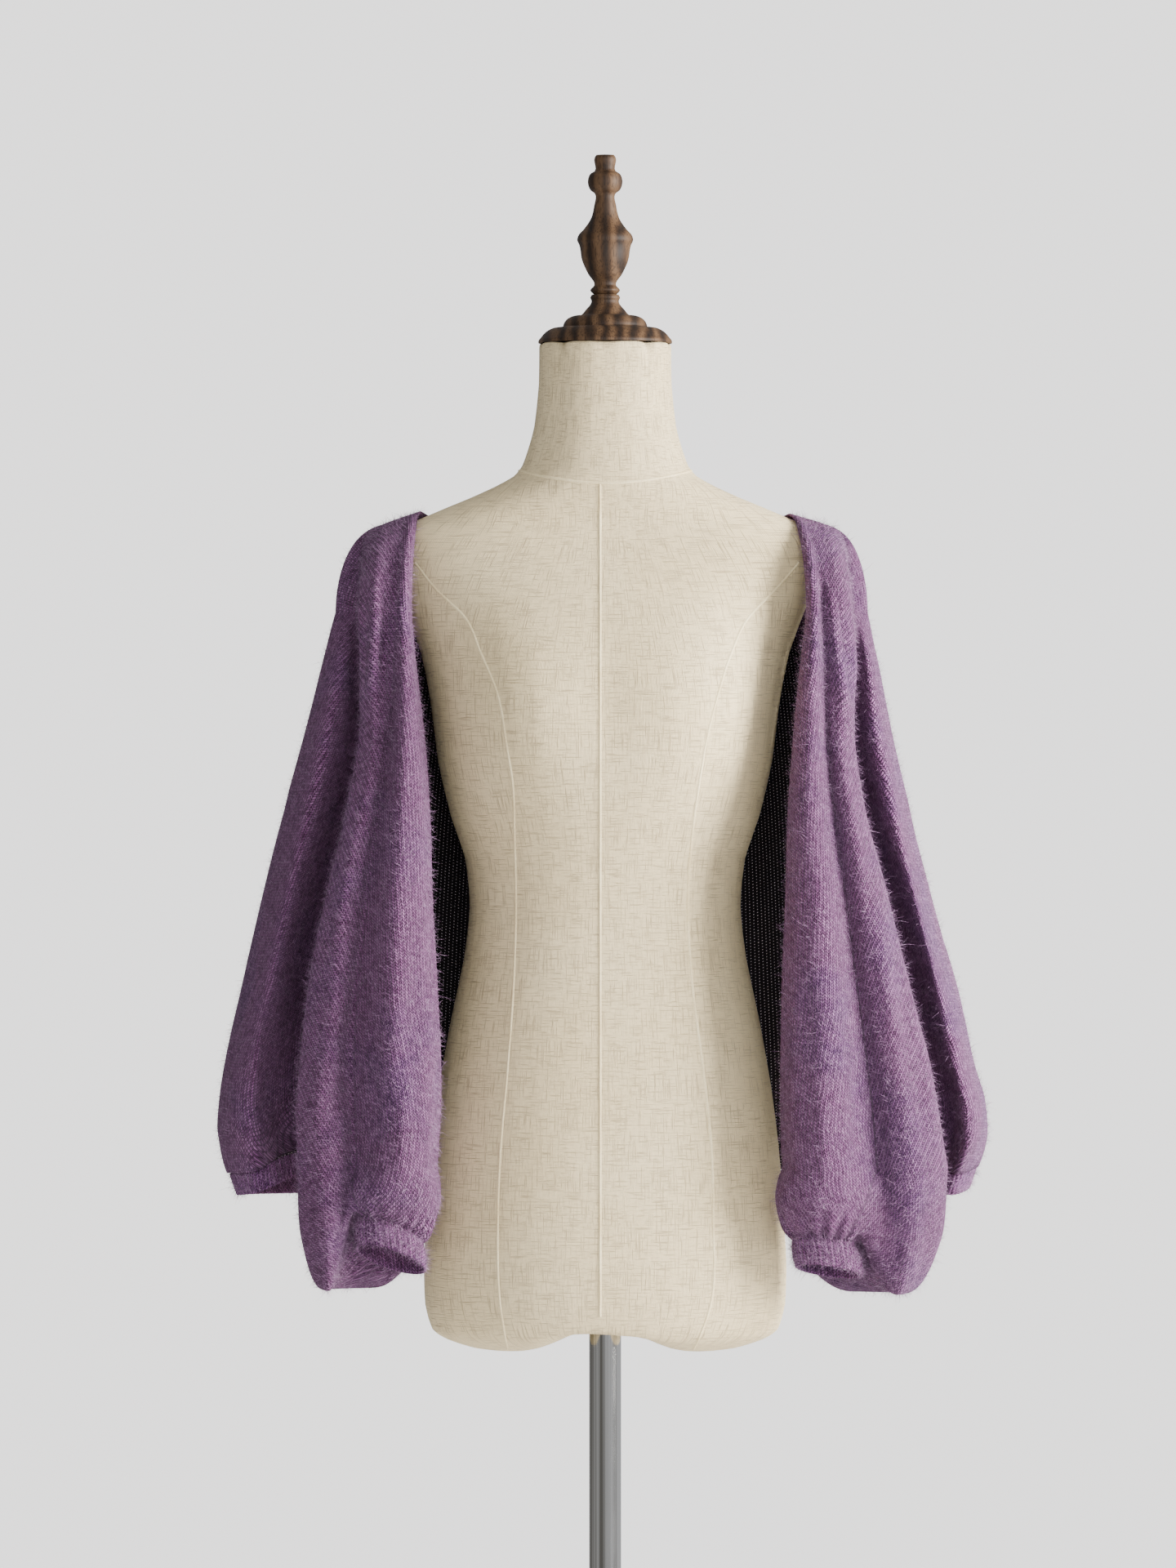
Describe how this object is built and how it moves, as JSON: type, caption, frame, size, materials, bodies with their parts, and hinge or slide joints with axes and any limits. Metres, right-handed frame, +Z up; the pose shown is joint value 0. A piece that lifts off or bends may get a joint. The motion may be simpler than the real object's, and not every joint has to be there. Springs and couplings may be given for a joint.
{
  "type": "cardigan on a dress form",
  "caption": "Knitted open-front cocoon cardigan with balloon sleeves, small ribbed cuffs and a ribbed back hem, worn on a limbless linen dress form on a pole stand.",
  "frame": {"origin": "middle of the base plate's underside, where the stand meets the floor", "axes": "+Z up along the pole, +X to the viewer's right when facing the front, the front faces -Y"},
  "size_m": [0.6513, 0.32, 1.718],
  "materials": {
    "purple_knit": "matte",
    "purple_rib": "matte",
    "linen": "matte",
    "walnut": "satin",
    "chrome": "polished",
    "painted_steel": "satin"
  },
  "bodies": {
    "root": {"back_panel": "purple_knit", "sleeve_left": "purple_knit", "sleeve_right": "purple_knit", "cuff_left": "purple_rib", "cuff_right": "purple_rib", "hem_band": "purple_rib", "form_torso": "linen", "neck_cap": "walnut", "finial": "walnut", "pole": "chrome", "base_collar": "chrome", "base_plate": "painted_steel"}
  },
  "joints": []
}
